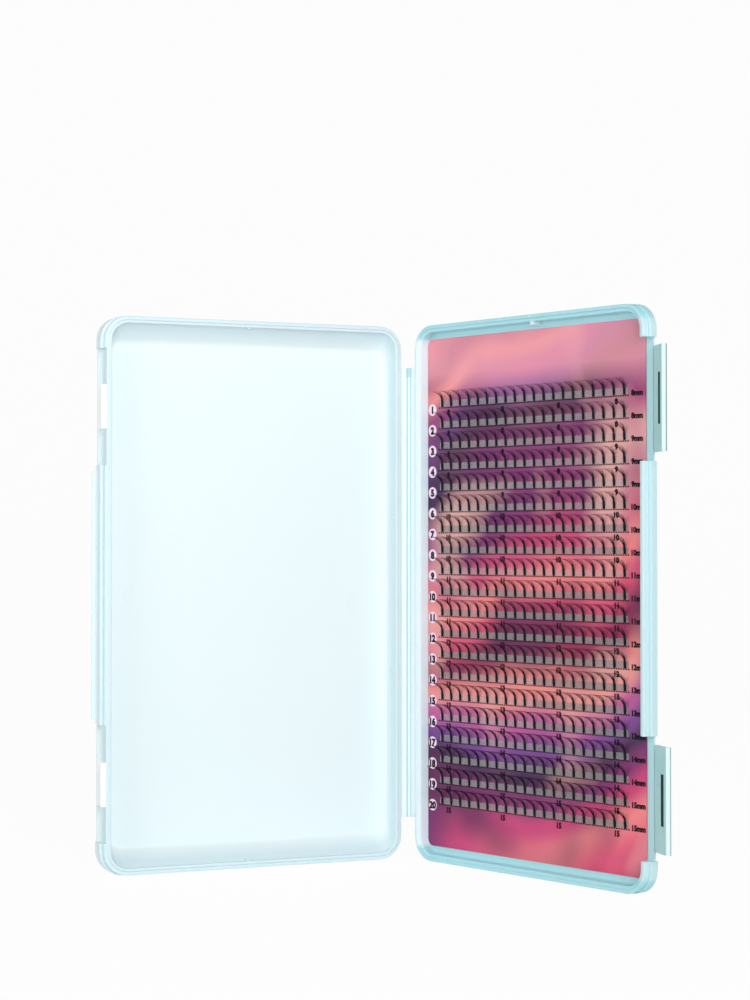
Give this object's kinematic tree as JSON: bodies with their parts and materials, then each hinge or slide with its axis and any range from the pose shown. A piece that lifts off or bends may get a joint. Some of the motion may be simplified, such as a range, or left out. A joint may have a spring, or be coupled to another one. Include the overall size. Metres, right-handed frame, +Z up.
{
  "type": "false eyelash case",
  "caption": "Two-tray hinged plastic case, opened like a book, with two latch flaps and a card of lash fan rows inside.",
  "frame": {"origin": "middle of the base tray's lower short edge, on the face that the case stands on", "axes": "+Z up along the case's length, +X from the hinge line to the base's free side, +Y out of the base's back; the base's open side faces -Y"},
  "size_m": [0.1384, 0.0959, 0.16],
  "materials": {
    "shell_plastic": "satin white polypropylene with a cool tint",
    "card_print": "satin printed card, coral to violet",
    "tape_white": "matt double-sided tape",
    "strip_grey": "semi-clear adhesive strip",
    "lash_black": "matt black synthetic fibre"
  },
  "bodies": {
    "base": {"base_tray": "shell_plastic", "base_hinge_leaf": "shell_plastic", "latch_film_upper": "shell_plastic", "latch_film_lower": "shell_plastic", "lash_card": "card_print", "card_tape": "tape_white", "lash_strip_01": "strip_grey", "lash_strip_02": "strip_grey", "lash_strip_03": "strip_grey", "lash_strip_04": "strip_grey", "lash_strip_05": "strip_grey", "lash_strip_06": "strip_grey", "lash_strip_07": "strip_grey", "lash_strip_08": "strip_grey", "lash_strip_09": "strip_grey", "lash_strip_10": "strip_grey", "lash_strip_11": "strip_grey", "lash_strip_12": "strip_grey", "lash_strip_13": "strip_grey", "lash_strip_14": "strip_grey", "lash_strip_15": "strip_grey", "lash_strip_16": "strip_grey", "lash_strip_17": "strip_grey", "lash_strip_18": "strip_grey", "lash_strip_19": "strip_grey", "lash_strip_20": "strip_grey", "lash_row_01": "lash_black", "lash_row_02": "lash_black", "lash_row_03": "lash_black", "lash_row_04": "lash_black", "lash_row_05": "lash_black", "lash_row_06": "lash_black", "lash_row_07": "lash_black", "lash_row_08": "lash_black", "lash_row_09": "lash_black", "lash_row_10": "lash_black", "lash_row_11": "lash_black", "lash_row_12": "lash_black", "lash_row_13": "lash_black", "lash_row_14": "lash_black", "lash_row_15": "lash_black", "lash_row_16": "lash_black", "lash_row_17": "lash_black", "lash_row_18": "lash_black", "lash_row_19": "lash_black", "lash_row_20": "lash_black"},
    "lid": {"lid_shell": "shell_plastic", "lid_hinge_leaf": "shell_plastic", "lid_catch_upper": "shell_plastic", "lid_catch_lower": "shell_plastic"},
    "latch_flap_upper": {"latch_upper": "shell_plastic"},
    "latch_flap_lower": {"latch_lower": "shell_plastic"}
  },
  "joints": [
    {"name": "lid_hinge", "type": "hinge", "parent": "base", "child": "lid", "pos_m": [-0.04875, -0.00235, 0.08], "axis": [0, 0, 1], "range_deg": [-72.6, 107.4]},
    {"name": "latch_upper_hinge", "type": "hinge", "parent": "base", "child": "latch_flap_upper", "pos_m": [0.0469, 0.002, 0.1339], "axis": [0, 0, -1], "range_deg": [-62, 58]},
    {"name": "latch_lower_hinge", "type": "hinge", "parent": "base", "child": "latch_flap_lower", "pos_m": [0.0469, 0.002, 0.0261], "axis": [0, 0, -1], "range_deg": [-55, 65]}
  ]
}
